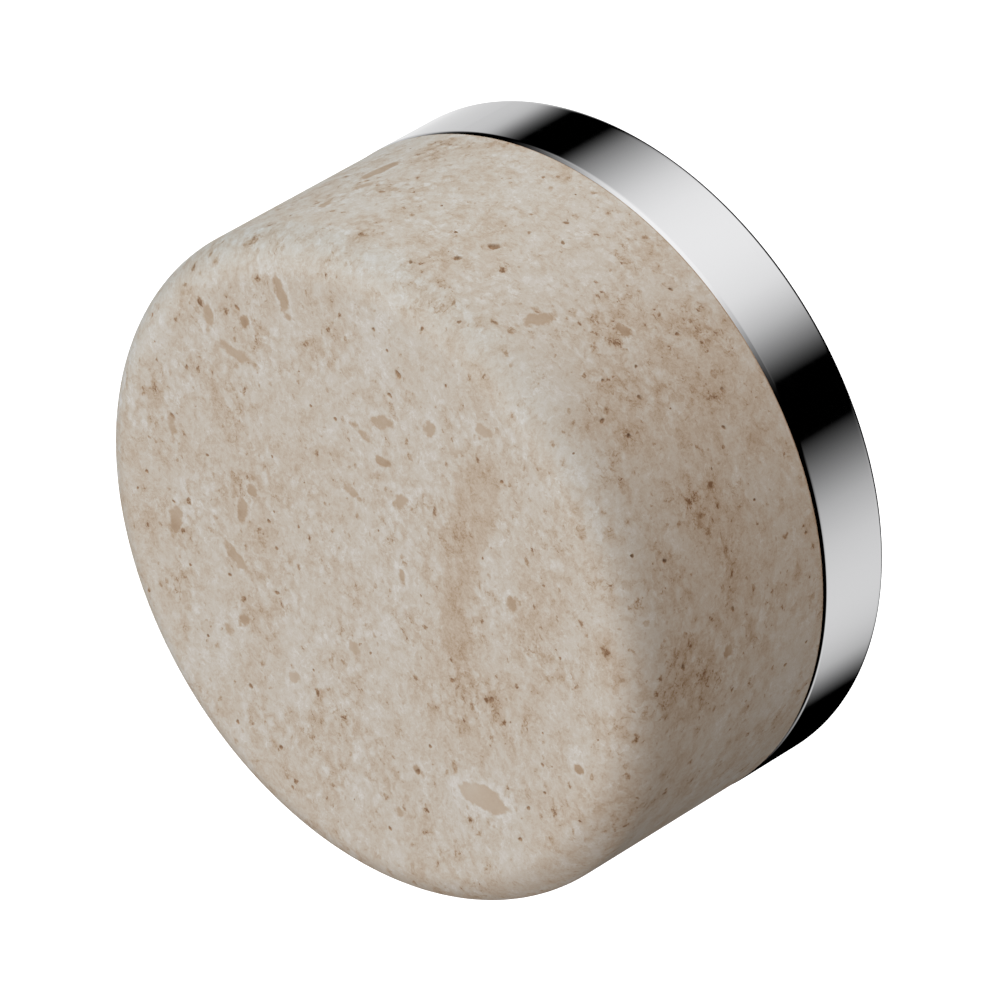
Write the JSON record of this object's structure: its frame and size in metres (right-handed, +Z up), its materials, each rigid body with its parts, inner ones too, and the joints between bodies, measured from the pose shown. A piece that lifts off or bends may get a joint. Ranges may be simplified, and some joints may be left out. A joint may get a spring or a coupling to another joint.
{
  "type": "rotary control knob",
  "caption": "Round wall-mounted rotary valve knob: a honed stone cap with a soft front edge on a polished ring, with its splined drive, bearing, stop and wall plate.",
  "frame": {"origin": "on the knob's axis, at the wall's surface", "axes": "+Z up, the wall is the plane y = 0, and the knob's front faces -Y"},
  "size_m": [0.05, 0.04, 0.05],
  "materials": {
    "stone": "honed travertine, filled, matt with a faint sheen",
    "chrome": "mirror-polished chrome plate on brass",
    "brass": "machined",
    "plate_steel": "stamped and lightly brushed",
    "screw_steel": "plain stainless",
    "spring_steel": "dark hardened",
    "rubber": "matt black",
    "white_plastic": "self-lubricating plastic",
    "adhesive": "cured filled epoxy"
  },
  "bodies": {
    "wall_mount": {"wall_gasket": "rubber", "back_plate": "plate_steel", "plate_screw_1": "screw_steel", "plate_screw_2": "screw_steel", "plate_screw_3": "screw_steel", "bearing_sleeve": "brass", "glide_washer": "white_plastic"},
    "knob": {"stone_cap": "stone", "seat_gasket": "rubber", "base_ring": "chrome", "cap_insert": "brass", "bonding_layer": "adhesive", "cap_screw_1": "screw_steel", "cap_screw_2": "screw_steel", "cap_screw_3": "screw_steel", "stop_pin": "screw_steel", "grub_screw": "screw_steel", "grub_plug": "chrome", "spline_adapter": "brass", "lock_washer": "spring_steel", "adapter_screw": "screw_steel", "drive_spindle": "brass", "spindle_o_ring": "rubber", "retaining_clip": "spring_steel", "wave_washer": "spring_steel"}
  },
  "joints": [
    {"name": "knob_turn", "type": "hinge", "parent": "wall_mount", "child": "knob", "pos_m": [0, 0, 0], "axis": [0, -1, 0], "range_deg": [0, 90]}
  ]
}
